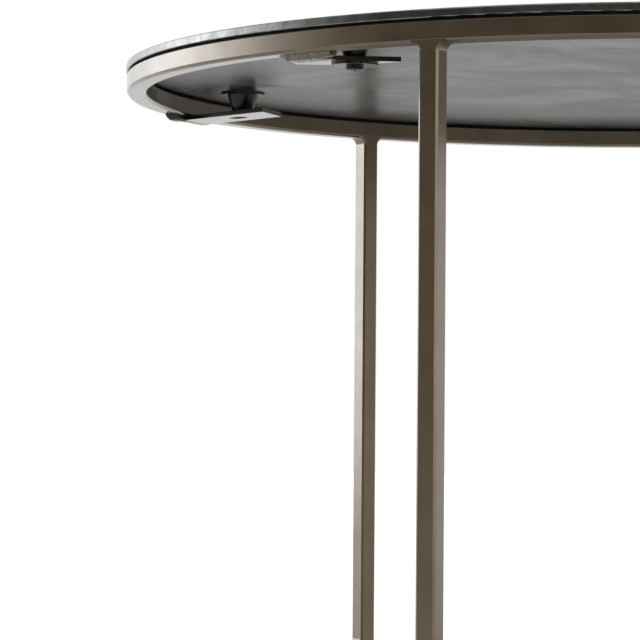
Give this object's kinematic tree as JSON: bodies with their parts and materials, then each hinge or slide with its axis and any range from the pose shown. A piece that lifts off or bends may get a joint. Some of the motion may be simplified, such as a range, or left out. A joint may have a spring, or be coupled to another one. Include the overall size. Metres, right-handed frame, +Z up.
{
  "type": "round coffee table",
  "caption": "Round coffee table: a thin stone top on straps and tapered bosses, over a welded frame of square bar with upright legs and two rings.",
  "frame": {"origin": "on the floor, on the vertical axis through the middle of the table", "axes": "+Z up; -Y through leg_1, which faces the viewer; +X to the viewer's right"},
  "size_m": [0.724, 0.724, 0.432],
  "materials": {
    "stone": "polished dark grey stone, mottled and finely veined",
    "frame": "satin bronze metallic lacquer on ground steel",
    "strap_steel": "satin bronze-grey lacquer on flat steel",
    "weld_metal": "lacquered rough weld bead",
    "black_plastic": "black moulded plastic, slightly glossy",
    "brass": "turned brass",
    "zinc": "zinc-plated steel",
    "black_steel": "blackened steel",
    "glide_plastic": "black nylon"
  },
  "bodies": {
    "root": {"table_top": "stone", "top_ring": "frame", "base_ring": "frame", "leg_1": "frame", "leg_2": "frame", "leg_3": "frame", "strap_1": "strap_steel", "strap_2": "strap_steel", "strap_3": "strap_steel", "strap_4": "strap_steel", "strap_welds": "weld_metal", "boss_1": "black_plastic", "boss_2": "black_plastic", "boss_3": "black_plastic", "boss_4": "black_plastic", "boss_inserts": "brass", "washers": "zinc", "screws": "black_steel", "glide_1": "glide_plastic", "glide_2": "glide_plastic", "glide_3": "glide_plastic", "glide_4": "glide_plastic", "glide_5": "glide_plastic", "glide_6": "glide_plastic"}
  },
  "joints": []
}
